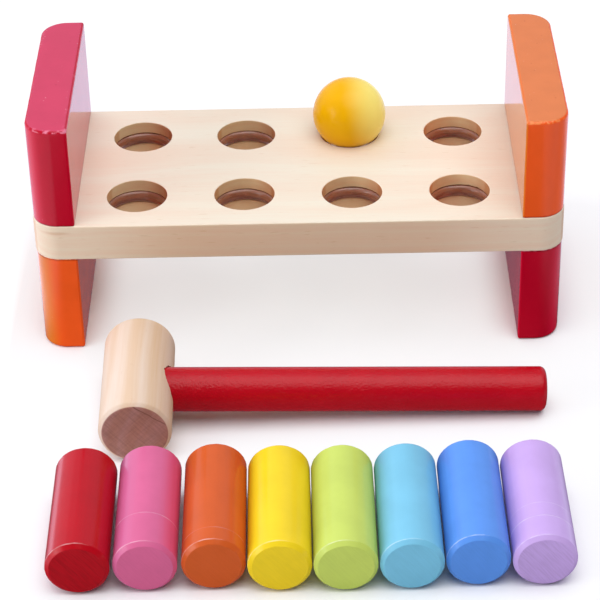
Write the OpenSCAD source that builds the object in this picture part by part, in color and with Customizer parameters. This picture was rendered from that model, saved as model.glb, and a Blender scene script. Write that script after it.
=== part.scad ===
/* [Bench] */
// Length of the deck, which is the length of the bench
bench_l = 280; // [262:1:340]
// Depth of the deck, front to back
bench_d = 122.5; // [112:0.5:150]
// Thickness of the deck plank
deck_t = 20.5; // [18:0.5:26]
// Radius of the upright corners at the ends of the deck
corner_r = 14; // [6:0.5:20]
// Height of each end block
block_h = 57; // [45:1:80]
// Distance from the end of the deck to the inner face of a block
block_t = 23; // [20:0.5:28]
// Step by which the deck stands proud of the blocks
block_step = 0.4; // [0.3:0.1:1]

/* [Peg holes] */
// Clearance round a peg in its hole
peg_fit = 0.8; // [0.4:0.1:1.5]
// Distance from the inner face of a block to the axis of the nearest hole
hole_end_margin = 31.05; // [26:0.05:35]
// Distance from the front or back of the deck to the axes of its row of holes
hole_edge_margin = 30; // [26:0.5:34]

/* [Grip rings] */
// Thickness of the rubber that a ring is made of
ring_t = 5; // [4:0.1:6]
// How far a peg pushes the inside of a ring outwards
ring_squeeze = 0.7; // [0.3:0.1:1.4]
// Play of a ring between the upper and the lower wall of its groove
ring_play = 1.8; // [0.8:0.1:3]
// Clearance between a ring and the wall that it lies on or stands against
ring_gap = 0.2; // [0.1:0.05:0.3]

/* [Dowels] */
// Diameter of the dowels that hold the blocks to the deck
dowel_d = 8; // [6:0.5:10]
// Length of a dowel, which runs through the deck into both blocks
dowel_l = 50; // [40:1:60]
// Distance from the front or back of the deck to the axis of the nearest dowel
dowel_margin = 26.25; // [18:0.25:34]
// Depth left past the end of a dowel for glue
glue_gap = 0.3; // [0.2:0.1:2]
// Clearance round a dowel in its hole
dowel_fit = 0.05; // [0.02:0.01:0.1]

/* [Pegs] */
// Diameter of a peg
peg_d = 30.4; // [29:0.1:31]
// Length of a peg
peg_l = 75; // [60:1:90]
// Radius of the rounded rim at each end of a peg
peg_rim = 2.2; // [1:0.1:5]

/* [Mallet] */
// Diameter of the mallet head
head_d = 37; // [34:0.5:42]
// Length of the mallet head
head_l = 76.5; // [60:0.5:90]
// Radius of the rounded rim at each end of the head
head_rim = 3.3; // [1:0.1:6]
// Diameter of the handle
handle_d = 23; // [18:0.5:26]
// Length of the handle, with the part in the head
handle_l = 220; // [160:1:240]
// Radius of the rounded rim at each end of the handle
handle_rim = 3; // [1:0.1:6]
// Wood left in the head past the blind end of the socket
socket_wall = 8.2; // [6:0.1:14]
// Clearance round the handle in its socket
socket_fit = 0.05; // [0.02:0.01:0.1]
// How far the handle lies in front of the middle of the head
handle_offset = 1.2; // [0:0.1:6]

/* [Ball] */
// Diameter of the ball
ball_d = 40; // [38:0.5:46]
// Gap left between the ball and the rim of its hole
ball_gap = 0.3; // [0.2:0.05:0.5]

/* [Layout on the floor] */
// Distance from the front of the bench to the far end of the mallet head
bench_to_mallet = 24.25; // [10:0.25:60]
// Distance from the near end of the mallet head to the far ends of the pegs
mallet_to_pegs = 24; // [10:0.5:60]
// How far the middle of the row of pegs lies to the right of the middle of the bench
row_offset = 3.85; // [-10:0.05:15]
// Angle by which the pegs are turned from square to the bench
peg_turn = 0.5; // [0:0.1:0.8]
// How far the middle of the mallet head lies to the left of the middle of the bench
mallet_side = 84.1; // [70:0.1:110]
// Angle by which the mallet is turned from square to the bench
mallet_turn = 1.1; // [0:0.1:3]

/* [Hidden] */
$fn = 96;

// Overrun of every cut past the face that it opens
cut = 1;
// Holes along the bench
columns = 4;
// Gaps between neighbouring pegs on the floor, as shares of a peg's diameter
peg_gap_shares = [0.038, 0.052, 0.017, 0.012, 0.014, 0.017, 0.018];
// How far each peg is pushed back from the row's line, as shares of its diameter
peg_back_shares = [0, 0.03, 0.05, -0.02, -0.04, -0.03, 0.03, 0.01];

// Radii that follow from the sizes above
peg_r = peg_d / 2;
hole_r = peg_r + peg_fit;
ring_axis_r = peg_r - ring_squeeze + ring_t / 2;
groove_r = ring_axis_r + ring_t / 2 + ring_gap;
head_r = head_d / 2;
handle_r = handle_d / 2;
ball_r = ball_d / 2;

// Heights, pitches and the depth of the handle in its socket
groove_w = ring_t + ring_play;
groove_z = block_h + (deck_t - groove_w) / 2;
deck_top = block_h + deck_t;
hole_pitch_x = (bench_l - 2 * (block_t + hole_end_margin)) / (columns - 1);
hole_pitch_y = bench_d - 2 * hole_edge_margin;
dowel_pitch = bench_d - 2 * dowel_margin;
handle_in = head_d - socket_wall - glue_gap;

// Places on the floor, measured from the middle of the bench
mallet_reach = bench_d / 2 + bench_to_mallet + head_l;
row_reach = mallet_reach + mallet_to_pegs + peg_l;
peg_gaps = len(peg_gap_shares);
row_start = (peg_gaps + sum_to(peg_gap_shares, peg_gaps)) * peg_r - row_offset;

// The whole set is centred front to back, so the bench lies behind the origin
front_reach = row_reach - min(peg_back_shares) * peg_d + (peg_r - peg_rim) * sin(peg_turn);
bench_y = (front_reach - bench_d / 2) / 2;

// The head lies on the floor and the end of the handle leans down to it
handle_out = head_r + handle_l - handle_in;
handle_lean = asin((head_r - handle_r) / (handle_out - handle_rim));

// Sum of the first n entries of a list
function sum_to(list, n) = n == 0 ? 0 : list[n - 1] + sum_to(list, n - 1);
function hole_x(column) = (column - (columns - 1) / 2) * hole_pitch_x;
function hole_y(row) = bench_y + (row - 1 / 2) * hole_pitch_y;
function peg_x(i) = -row_start + (i + sum_to(peg_gap_shares, i)) * peg_d;
function peg_y(i) = bench_y - row_reach + peg_back_shares[i] * peg_d;

// Outline of the deck, drawn in by a margin all round
module deck_outline(margin) {
  r = corner_r - margin;
  square([bench_l - 2 * margin, bench_d - 2 * corner_r], center = true);
  square([bench_l - 2 * corner_r, bench_d - 2 * margin], center = true);
  for (x = [-1, 1], y = [-1, 1])
    translate([x * (bench_l / 2 - corner_r), y * (bench_d / 2 - corner_r)]) circle(r);
}

// A bar turned on a lathe, standing on the origin, with both rims rounded
module turned_bar(d, l, rim) {
  rotate_extrude() {
    square([d / 2 - rim, l]);
    translate([0, rim]) square([d / 2, l - 2 * rim]);
    for (z = [rim, l - rim]) translate([d / 2 - rim, z]) circle(rim);
  }
}

// The places of the dowels, where side is -1 on the left and 1 on the right
module at_dowel(side, row) {
  x = side * (bench_l - block_t - block_step) / 2;
  translate([x, bench_y + row * dowel_pitch / 2, block_h + deck_t / 2]) children();
}

module dowel_hole(side, row) {
  at_dowel(side, row)
    cylinder(r = dowel_d / 2 + dowel_fit, h = dowel_l + 2 * glue_gap, center = true);
}

// One plank of pale wood with a ring groove halfway down each hole
module deck() {
  color("burlywood") difference() {
    translate([0, bench_y, block_h]) linear_extrude(deck_t) deck_outline(0);
    for (column = [0 : columns - 1], row = [0, 1])
      translate([hole_x(column), hole_y(row), 0]) {
        translate([0, 0, block_h - cut]) cylinder(r = hole_r, h = deck_t + 2 * cut);
        translate([0, 0, groove_z]) cylinder(r = groove_r, h = groove_w);
      }
    for (side = [-1, 1], row = [-1, 1]) dowel_hole(side, row);
  }
}

// A painted end block, which follows the rounded end of the deck
module end_block(side, bottom, paint) {
  color(paint) difference() {
    translate([0, bench_y, bottom]) linear_extrude(block_h) intersection() {
      deck_outline(block_step);
      translate([side * (bench_l - block_t), 0]) square([bench_l, bench_d], center = true);
    }
    for (row = [-1, 1]) dowel_hole(side, row);
  }
}

module dowel(side, row) {
  color("tan") at_dowel(side, row) cylinder(d = dowel_d, h = dowel_l, center = true);
}

// A rubber ring that lies on the lower wall of its groove
module grip_ring(column, row) {
  color("saddlebrown")
    translate([hole_x(column), hole_y(row), groove_z + ring_gap + ring_t / 2])
      rotate_extrude() translate([ring_axis_r, 0]) circle(d = ring_t);
}

// A peg lying on the floor with its near end towards the front
module peg(i, paint) {
  color(paint) translate([peg_x(i), peg_y(i), peg_r])
    rotate([-90, 0, peg_turn]) turned_bar(peg_d, peg_l, peg_rim);
}

// The ball rests on the rim of a hole, with a gap left there
module ball(column, row) {
  rise = sqrt(pow(ball_r + ball_gap, 2) - pow(hole_r, 2));
  color("gold") translate([hole_x(column), hole_y(row), deck_top + rise]) sphere(ball_r);
}

// Places the mallet, drawn with its head's middle at the origin and its handle along X
module place_mallet() {
  translate([-mallet_side, bench_y - mallet_reach + head_l / 2, head_r])
    rotate([0, handle_lean, mallet_turn]) children();
}

module mallet_head() {
  color("wheat") place_mallet() difference() {
    translate([0, -head_l / 2, 0]) rotate([-90, 0, 0]) turned_bar(head_d, head_l, head_rim);
    translate([head_r - handle_in - glue_gap, -handle_offset, 0]) rotate([0, 90, 0])
      cylinder(r = handle_r + socket_fit, h = head_d);
  }
}

module mallet_handle() {
  color("firebrick") place_mallet()
    translate([head_r - handle_in, -handle_offset, 0]) rotate([0, 90, 0])
      turned_bar(handle_d, handle_l, handle_rim);
}

deck();
end_block(-1, deck_top, "crimson");  // block_upper_left
end_block(1, deck_top, "darkorange");  // block_upper_right
end_block(-1, 0, "darkorange");  // block_lower_left
end_block(1, 0, "crimson");  // block_lower_right
dowel(-1, -1);  // dowel_left_front
dowel(-1, 1);  // dowel_left_back
dowel(1, -1);  // dowel_right_front
dowel(1, 1);  // dowel_right_back
grip_ring(0, 0);  // grip_ring_front_1
grip_ring(1, 0);  // grip_ring_front_2
grip_ring(2, 0);  // grip_ring_front_3
grip_ring(3, 0);  // grip_ring_front_4
grip_ring(0, 1);  // grip_ring_back_1
grip_ring(1, 1);  // grip_ring_back_2
grip_ring(2, 1);  // grip_ring_back_3
grip_ring(3, 1);  // grip_ring_back_4
peg(0, "crimson");  // peg_red
peg(1, "hotpink");  // peg_pink
peg(2, "orangered");  // peg_orange
peg(3, "gold");  // peg_yellow
peg(4, "yellowgreen");  // peg_lime
peg(5, "mediumturquoise");  // peg_sky
peg(6, "royalblue");  // peg_blue
peg(7, "plum");  // peg_lilac
ball(2, 1);
mallet_head();
mallet_handle();
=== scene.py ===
import math

import bmesh
import bpy
from mathutils import Matrix, Vector, noise


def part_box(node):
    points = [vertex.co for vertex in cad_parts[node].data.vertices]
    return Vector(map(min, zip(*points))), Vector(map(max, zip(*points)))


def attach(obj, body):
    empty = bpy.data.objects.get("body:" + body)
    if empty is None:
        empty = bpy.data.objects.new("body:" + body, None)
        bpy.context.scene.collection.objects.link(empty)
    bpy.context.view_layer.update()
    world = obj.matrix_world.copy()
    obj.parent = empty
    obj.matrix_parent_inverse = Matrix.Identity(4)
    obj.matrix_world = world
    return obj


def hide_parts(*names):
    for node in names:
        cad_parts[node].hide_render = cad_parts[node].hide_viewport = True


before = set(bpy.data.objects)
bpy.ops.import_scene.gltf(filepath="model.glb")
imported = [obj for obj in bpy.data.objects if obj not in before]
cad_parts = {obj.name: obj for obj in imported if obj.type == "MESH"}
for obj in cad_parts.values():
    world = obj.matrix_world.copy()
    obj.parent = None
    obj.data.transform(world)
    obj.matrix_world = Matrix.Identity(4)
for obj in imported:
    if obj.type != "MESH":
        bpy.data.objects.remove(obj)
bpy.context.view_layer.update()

# The deck is one plank of pale, close-grained wood, planed flat and left bare. Its corners are
# sawn round, its edges are broken with sandpaper, and eight holes are bored through it. Halfway
# down each hole a groove is turned for a rubber ring.
DECK_PALE = (0.794, 0.735, 0.577)
DECK_DEEP = (0.790, 0.640, 0.480)
DECK_PITH = (0.135, -0.16)
DECK_BANDS = 0.06
DECK_SIDE_PAINTED_SHADE = (0.955, 0.870, 0.810)
DECK_END_TINT = (0.88, 0.72, 0.60)
DECK_LEFT_PAINTED_LIGHT = (1.12, 1.12, 1.13)
DECK_LEFT_LIGHT_ACROSS = (-0.03, -0.12)
DECK_MIDDLE_PAINTED_SHADE = (0.93, 0.86, 0.80)
DECK_SHADE_ACROSS = (0.115, 0.06)
STREAK_BROWN = (0.89, 0.79, 0.72)
STREAK_PLACE = (-0.127, 0.0735)
STREAK_WIDTHS = (0.0014, 0.0004)
STREAK_STRETCH = 7.0
BORE_TINT = (1.14, 1.06, 0.84)
BORE_LEFT_PAINTED_SHADE = (0.72, 0.52, 0.46)
DECK_CORNER = 0.014
DECK_EDGE = 0.0009
DECK_EDGE_WAVE = 0.00012
HOLE_RADIUS = 0.016
HOLE_EDGE = 0.0005
HOLE_STEPS = 96
GROOVE_RADIUS = 0.0197
GROOVE_WIDTH = 0.0068
GROOVE_EDGE = 0.0004
TORN_TURNS = (32, 74)
TORN_HEIGHT = 0.0011
TORN_REACH = 0.0004
WOOD_SHINE = 0.4
WOOD_WANDER = 0.009
WOOD_WAVES = (7, 18, 18)
WOOD_PATCHES = (9, 30, 30)
WOOD_YEARS = 330.0
WOOD_BANDS = 110.0
WOOD_FIBRES = (45, 1500, 1500)
WOOD_FLECKS = (130, 900, 900)
WOOD_RELIEF = 0.00003
UNTINTED = (1.0, 1.0, 1.0)
SHARP_ANGLE = 0.9


def add_node(tree, kind, inputs=None, **settings):
    """Adds a node, sets it up, and fills its inputs with values or with other nodes' outputs."""
    node = tree.nodes.new(kind)
    for key, value in settings.items():
        setattr(node, key, value)
    for key, value in (inputs or {}).items():
        if isinstance(value, bpy.types.NodeSocket):
            tree.links.new(value, node.inputs[key])
        else:
            node.inputs[key].default_value = value
    return node


def calc(tree, operation, *values):
    """The result of a sum on numbers and sockets."""
    inputs = dict(enumerate(values))
    return add_node(tree, "ShaderNodeMath", inputs, operation=operation).outputs[0]


def product(tree, first, *others):
    """Numbers and sockets multiplied together."""
    for value in others:
        first = calc(tree, "MULTIPLY", first, value)
    return first


def slant(tree, sideways, upwards):
    """How far something is that lies so far sideways and so far upwards."""
    squares = [calc(tree, "POWER", value, 2.0) for value in (sideways, upwards)]
    return calc(tree, "SQRT", calc(tree, "ADD", *squares))


def fade(tree, value, start, end, low=0.0, high=1.0):
    """Goes smoothly from low to high while the value goes from start to end."""
    inputs = {"Value": value, "From Min": start, "From Max": end, "To Min": low, "To Max": high}
    return add_node(tree, "ShaderNodeMapRange", inputs, interpolation_type="SMOOTHSTEP").outputs[0]


def colour_mix(tree, share, first, second, blend="MIX"):
    """A mix of two colours, which are sockets or three numbers."""
    def filled(colour):
        return colour if isinstance(colour, bpy.types.NodeSocket) else (*colour, 1.0)
    inputs = {0: share, 6: filled(first), 7: filled(second)}
    return add_node(tree, "ShaderNodeMix", inputs, data_type="RGBA", blend_type=blend).outputs[2]


def speckle(tree, place, stretch, detail=2.0):
    """Even noise on places stretched by one factor or three, in turns for each metre."""
    factors = stretch if isinstance(stretch, tuple) else (stretch,) * 3
    scaled = add_node(tree, "ShaderNodeVectorMath", {0: place, 1: factors}, operation="MULTIPLY")
    inputs = {"Vector": scaled.outputs[0], "Scale": 1.0, "Detail": detail}
    return add_node(tree, "ShaderNodeTexNoise", inputs).outputs[0]


def line_noise(tree, value, scale, detail):
    """Even noise that changes with one number only."""
    inputs = {"W": value, "Scale": scale, "Detail": detail}
    return add_node(tree, "ShaderNodeTexNoise", inputs, noise_dimensions="1D").outputs[0]


def xyz(tree, vector):
    """The three parts of a place or a direction."""
    return add_node(tree, "ShaderNodeSeparateXYZ", {0: vector}).outputs


def combined(tree, *parts):
    """A place or a direction put together from its parts."""
    return add_node(tree, "ShaderNodeCombineXYZ", dict(enumerate(parts))).outputs[0]


def normal(tree):
    """The direction in which the surface faces."""
    return add_node(tree, "ShaderNodeNewGeometry").outputs["Normal"]


def attribute(tree, name):
    """A value that the mesh holds for each of its points."""
    return add_node(tree, "ShaderNodeAttribute", attribute_name=name).outputs["Fac"]


def new_material(name, **values):
    """A material with one main shader, whose even values are set on the shader itself."""
    material = bpy.data.materials.new(name)
    material.use_nodes = True
    tree = material.node_tree
    tree.nodes.clear()
    surface = add_node(tree, "ShaderNodeBsdfPrincipled")
    for key, value in values.items():
        surface.inputs[key.replace("_", " ")].default_value = value
    add_node(tree, "ShaderNodeOutputMaterial", {"Surface": surface.outputs[0]})
    place = add_node(tree, "ShaderNodeTexCoord").outputs["Object"]
    return material, tree, surface, place


def finish_surface(tree, surface, colour, roughness, height, depth):
    """Gives a shader its colour and roughness, and relief of that depth in metres."""
    tree.links.new(colour, surface.inputs["Base Color"])
    tree.links.new(roughness, surface.inputs["Roughness"])
    inputs = {"Height": height, "Distance": depth, "Strength": 1.0}
    relief = add_node(tree, "ShaderNodeBump", inputs).outputs[0]
    tree.links.new(relief, surface.inputs["Normal"])


def wood(name, pale, deep, along, pith, bands, painted_side_shade=UNTINTED, end_tint=UNTINTED,
         heart=(), fine=1.0):
    """Bare sanded wood, its grain along X or Y, with yearly rings round a pith outside it.

    Upright sides can take a painted shade, darker than the top, and sawn ends have their own
    tint. Broad bands and fine lines have the strengths in bands and fine. The heart, if any,
    darkens from the first to the second distance by the third number.
    """
    material, tree, surface, place = new_material(name, Specular_IOR_Level=WOOD_SHINE)
    x, y, z = xyz(tree, place)
    lengthways, sideways = (x, y) if along == "X" else (y, x)
    grained = combined(tree, lengthways, sideways, z)
    reach = slant(tree, calc(tree, "SUBTRACT", sideways, pith[0]),
                  calc(tree, "SUBTRACT", z, pith[1]))
    wander = speckle(tree, grained, WOOD_WAVES)
    reach = calc(tree, "MULTIPLY_ADD", wander, WOOD_WANDER, reach)
    years = line_noise(tree, reach, WOOD_YEARS, 3.0)
    fibres = speckle(tree, grained, WOOD_FIBRES, 3.0)
    flecks = speckle(tree, grained, WOOD_FLECKS, 1.0)
    patches = speckle(tree, grained, WOOD_PATCHES)
    tone = calc(tree, "MULTIPLY_ADD", years, 0.6, product(tree, fibres, 0.4))
    tone = calc(tree, "MULTIPLY_ADD", patches, 0.6, tone)
    tone = fade(tree, tone, 0.45, 1.15, 0.5 - fine / 2, 0.5 + fine / 2)
    if heart:
        start, end, strength = heart
        tone = calc(tree, "ADD", tone, fade(tree, reach, start, end, 0.0, strength))
    broad = line_noise(tree, reach, WOOD_BANDS, 1.0)
    tone = calc(tree, "ADD", tone, fade(tree, broad, 0.35, 0.65, -bands, bands))
    mixed = colour_mix(tree, tone, pale, deep)
    dashes = fade(tree, flecks, 0.68, 0.80, 0.0, 0.35 * fine)
    mixed = colour_mix(tree, dashes, mixed, deep, "MULTIPLY")
    facing = [calc(tree, "ABSOLUTE", part) for part in xyz(tree, normal(tree))]
    # Painted shade: upright faces take the side shade given, darker than the top.
    mixed = colour_mix(tree, fade(tree, facing[2], 0.9, 0.3), mixed, painted_side_shade, "MULTIPLY")
    sawn = fade(tree, facing[0 if along == "X" else 1], 0.84, 0.91)
    mixed = colour_mix(tree, sawn, mixed, end_tint, "MULTIPLY")
    roughness = calc(tree, "MULTIPLY_ADD", fibres, 0.2, 0.38)
    relief = calc(tree, "ADD", fibres, flecks)
    finish_surface(tree, surface, mixed, roughness, relief, WOOD_RELIEF)
    return material


def reopened(material):
    """The tree, shader, place and facing of a material, and the colour that it has so far."""
    tree = material.node_tree
    surface = next(node for node in tree.nodes if node.type == "BSDF_PRINCIPLED")
    place = next(node for node in tree.nodes if node.type == "TEX_COORD").outputs["Object"]
    colour = surface.inputs["Base Color"].links[0].from_socket
    return tree, surface, place, xyz(tree, normal(tree)), colour


def rounded_outline(low, high, radii, inset, spacing=0.002, steps=14):
    """Points round a rectangle with round corners, set in, each with the direction it faces."""
    corners = []
    signs = [(-1, -1, 180), (1, -1, 270), (1, 1, 0), (-1, 1, 90)]
    for (side_x, side_y, start), radius in zip(signs, radii):
        bend = max(radius - inset, 0.0001)
        middle_x = (high.x if side_x > 0 else low.x) - side_x * (inset + bend)
        middle_y = (high.y if side_y > 0 else low.y) - side_y * (inset + bend)
        arc = []
        for step in range(steps + 1):
            angle = math.radians(start + 90 * step / steps)
            face = (math.cos(angle), math.sin(angle))
            arc.append((middle_x + bend * face[0], middle_y + bend * face[1], *face))
        corners.append(arc)
    outline = []
    runs = [high.x - low.x, high.y - low.y] * 2
    for arc, following, run in zip(corners, corners[1:] + corners[:1], runs):
        outline += arc
        first, last = Vector(arc[-1]), Vector(following[0])
        count = round(run / spacing)
        outline += [tuple(first.lerp(last, i / count)) for i in range(1, count)]
    return outline


def quarter(radius, steps=6):
    """How far in and how far along each point of a rounded edge lies, from a face to a wall."""
    turns = [math.pi / 2 * i / steps for i in range(steps + 1)]
    return [(radius * (1 - math.sin(turn)), radius * (1 - math.cos(turn))) for turn in turns]


def bridge(bm, loops):
    """Closes the surface between loops of points, each to the next."""
    for lower, upper in zip(loops, loops[1:]):
        for i, point in enumerate(lower):
            j = (i + 1) % len(lower)
            bm.faces.new((point, lower[j], upper[j], upper[i]))


def slab_loops(bm, low, high, radii, low_edge, high_edge, wave, soft=0.0012):
    """Loops of points up the side of a slab, with its edges rounded and marked as edges.

    The rounding waves a little, as an edge does that is broken by hand.
    """
    mark = bm.verts.layers.float["edge"]
    bottom, top = low.z, high.z
    rows = [(low_edge + soft, bottom, 0.0)]
    rows += [(inset, bottom + rise, 1.0) for inset, rise in quarter(low_edge)]
    rows += [(0.0, bottom + low_edge + soft, 0.0), (0.0, top - high_edge - soft, 0.0)]
    rows += [(inset, top - fall, 1.0) for inset, fall in reversed(quarter(high_edge))]
    rows += [(high_edge + soft, top, 0.0)]
    loops = []
    for inset, height, edge in rows:
        loop = []
        for x, y, face_x, face_y in rounded_outline(low, high, radii, inset):
            point = Vector((x, y, height))
            if edge and height not in (bottom, top):
                sway = wave * noise.noise(point * 170.0)
                point.x -= face_x * abs(sway)
                point.y -= face_y * abs(sway)
            vertex = bm.verts.new(point)
            vertex[mark] = edge
            loop.append(vertex)
        loops.append(loop)
    bridge(bm, loops)
    return loops


def new_bmesh():
    """An empty mesh whose points can be marked as lying on an edge."""
    bm = bmesh.new()
    bm.verts.layers.float.new("edge")
    return bm


def set_out(name, data):
    """A new object in the scene."""
    thing = bpy.data.objects.new(name, data)
    bpy.context.scene.collection.objects.link(thing)
    return thing


def finished(name, bm, material):
    """Turns the points and faces into an object, smooth on its roundings and flat on its faces."""
    bmesh.ops.remove_doubles(bm, verts=bm.verts, dist=0.000001)
    bmesh.ops.recalc_face_normals(bm, faces=bm.faces)
    for face in bm.faces:
        face.smooth = True
    for edge in bm.edges:
        edge.smooth = edge.calc_face_angle(0.0) < SHARP_ANGLE
    mesh = bpy.data.meshes.new(name)
    bm.to_mesh(mesh)
    bm.free()
    mesh.materials.append(material)
    piece = set_out(name, mesh)
    even = piece.modifiers.new("even_shading", "WEIGHTED_NORMAL")
    even.keep_sharp = True
    return piece


deck_low, deck_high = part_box("deck")
groove_middle = (deck_low.z + deck_high.z) / 2
hole_names = [f"grip_ring_{row}_{i}" for row in ("front", "back") for i in range(1, 5)]
hole_middles = [(sum(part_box(name), Vector()) / 2) for name in hole_names]
torn_middle = hole_middles[3]


def hole_profile():
    """Radius and height of each ring of points down a hole."""
    rows = [(HOLE_RADIUS + inset, deck_high.z - fall) for inset, fall in quarter(HOLE_EDGE, 4)]
    top, bottom = groove_middle + GROOVE_WIDTH / 2, groove_middle - GROOVE_WIDTH / 2
    rows += [(HOLE_RADIUS, top + GROOVE_EDGE), (HOLE_RADIUS + GROOVE_EDGE, top)]
    rows += [(GROOVE_RADIUS - GROOVE_EDGE, top), (GROOVE_RADIUS, top - GROOVE_EDGE)]
    rows += [(GROOVE_RADIUS, bottom + GROOVE_EDGE), (GROOVE_RADIUS - GROOVE_EDGE, bottom)]
    rows += [(HOLE_RADIUS + GROOVE_EDGE, bottom), (HOLE_RADIUS, bottom - GROOVE_EDGE)]
    low = [(HOLE_RADIUS + inset, deck_low.z + rise) for inset, rise in quarter(HOLE_EDGE, 4)]
    return rows + low[::-1]


def hole_ring(bm, middle, radius, height):
    """One ring of points down a hole. In one hole the groove's upper edge is torn a little."""
    bored = bm.verts.layers.float["bored"]
    torn_start, torn_end = (math.radians(turn) for turn in TORN_TURNS)
    torn_edge = groove_middle + GROOVE_WIDTH / 2
    beside_edge = abs(height - torn_edge) < 2 * GROOVE_EDGE
    on_edge = beside_edge and radius < HOLE_RADIUS + 2 * GROOVE_EDGE
    ring = []
    for step in range(HOLE_STEPS):
        angle = 2 * math.pi * step / HOLE_STEPS
        reach, level = radius, height
        if middle is torn_middle and on_edge and torn_start < angle < torn_end:
            bite = abs(noise.noise(Vector((angle * 9, height * 3000, 0.0))))
            level += bite * TORN_HEIGHT
            reach += bite * TORN_REACH
        place = (middle.x + reach * math.cos(angle), middle.y + reach * math.sin(angle))
        vertex = bm.verts.new((*place, level))
        vertex[bored] = 1.0 if height < deck_high.z - HOLE_EDGE / 3 else 0.0
        ring.append(vertex)
    return ring


def deck_mesh():
    """The plank with its eight grooved holes. The walls of the holes are marked as bored."""
    bm = new_bmesh()
    bm.verts.layers.float.new("bored")
    corners = [DECK_CORNER] * 4
    loops = slab_loops(bm, deck_low, deck_high, corners, DECK_EDGE, DECK_EDGE, DECK_EDGE_WAVE)
    upper_rims, lower_rims = [loops[-1]], [loops[0]]
    for middle in hole_middles:
        rings = [hole_ring(bm, middle, radius, height) for radius, height in hole_profile()]
        bridge(bm, rings)
        upper_rims.append(rings[0])
        lower_rims.append(rings[-1])
    for rims in (upper_rims, lower_rims):
        edges = [bm.edges.get((ring[i - 1], ring[i])) for ring in rims for i in range(len(ring))]
        bmesh.ops.triangle_fill(bm, use_beauty=True, use_dissolve=False, edges=edges)
    return bm


# Painted shade: the deck's upright sides are painted darker and browner than its top.
deck_wood = wood("bare_deck_wood", DECK_PALE, DECK_DEEP, "X", DECK_PITH, DECK_BANDS,
                 DECK_SIDE_PAINTED_SHADE, DECK_END_TINT)
tree, surface, place, facing, mixed = reopened(deck_wood)
across, _, height = xyz(tree, place)
# Painted light: the top is painted paler towards its left end, beside the left block.
painted_lighter = product(tree, fade(tree, across, *DECK_LEFT_LIGHT_ACROSS), fade(tree, facing[2], 0.3, 0.8))
mixed = colour_mix(tree, painted_lighter, mixed, DECK_LEFT_PAINTED_LIGHT, "MULTIPLY")
# Painted shade: upright faces are painted darker and browner away from the deck's ends.
upright = fade(tree, calc(tree, "ABSOLUTE", facing[2]), 0.6, 0.3)
painted_shade_middle = product(tree, fade(tree, calc(tree, "ABSOLUTE", across), *DECK_SHADE_ACROSS), upright)
mixed = colour_mix(tree, painted_shade_middle, mixed, DECK_MIDDLE_PAINTED_SHADE, "MULTIPLY")
beside = calc(tree, "DIVIDE", calc(tree, "SUBTRACT", across, STREAK_PLACE[0]), STREAK_STRETCH)
above = calc(tree, "SUBTRACT", height, STREAK_PLACE[1])
streak = fade(tree, slant(tree, beside, above), *STREAK_WIDTHS)
streak = product(tree, streak, fade(tree, facing[1], -0.3, -0.8))
mixed = colour_mix(tree, streak, mixed, STREAK_BROWN, "MULTIPLY")
wall = attribute(tree, "bored")
mixed = colour_mix(tree, wall, mixed, BORE_TINT, "MULTIPLY")
# Painted shade: the walls of the holes that face left are painted darker and browner.
painted_wall_shade = product(tree, wall, fade(tree, facing[0], -0.25, -0.95, 0.0, 0.9))
mixed = colour_mix(tree, painted_wall_shade, mixed, BORE_LEFT_PAINTED_SHADE, "MULTIPLY")
tree.links.new(mixed, surface.inputs["Base Color"])
deck = finished("deck_plank", deck_mesh(), deck_wood)
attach(deck, "bench")
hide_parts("deck")

# Each hole has a ring of glossy brown rubber, which grips a peg as it is driven through. The
# rings are moulded and pressed into their grooves, where they lie on the lower wall.
RUBBER = (0.350, 0.135, 0.072)
RUBBER_SHINE = 0.7
RUBBER_STREAKS = (110, 110, 700)
RUBBER_RELIEF = 0.00002
RING_THICKNESS = 0.005
RING_HEIGHT = 0.0068
RING_LIFT = 0.00055
RING_TILT = 0.4


def node_group(name, sizes):
    """A tree of geometry nodes with named inputs, and the outputs of its input node."""
    tree = bpy.data.node_groups.new(name, "GeometryNodeTree")
    for label, value in sizes.items():
        kind = {int: "Int", float: "Float"}.get(type(value), "Material")
        tree.interface.new_socket(label, in_out="INPUT", socket_type="NodeSocket" + kind)
    tree.interface.new_socket("Mesh", in_out="OUTPUT", socket_type="NodeSocketGeometry")
    return tree, add_node(tree, "NodeGroupInput").outputs


def close_group(tree, shape, material):
    """Ends a tree: real, smooth, joined faces in one material."""
    shape = add_node(tree, "GeometryNodeRealizeInstances", {0: shape}).outputs[0]
    inputs = {"Geometry": shape, "Distance": 0.000001}
    shape = add_node(tree, "GeometryNodeMergeByDistance", inputs).outputs[0]
    shape = add_node(tree, "GeometryNodeSetShadeSmooth", {0: shape}).outputs[0]
    inputs = {"Geometry": shape, "Material": material}
    shape = add_node(tree, "GeometryNodeSetMaterial", inputs).outputs[0]
    add_node(tree, "NodeGroupOutput", {0: shape})


def grown(name, tree, sizes):
    """A plain mesh object that the tree makes with those sizes."""
    piece = set_out(name, bpy.data.meshes.new(name))
    maker = piece.modifiers.new("maker", "NODES")
    maker.node_group = tree
    for item in tree.interface.items_tree:
        if item.in_out == "INPUT":
            maker[item.identifier] = sizes[item.name]
    evaluated = piece.evaluated_get(bpy.context.evaluated_depsgraph_get())
    piece.data = bpy.data.meshes.new_from_object(evaluated)
    piece.modifiers.clear()
    piece.data.name = name
    return piece


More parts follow.
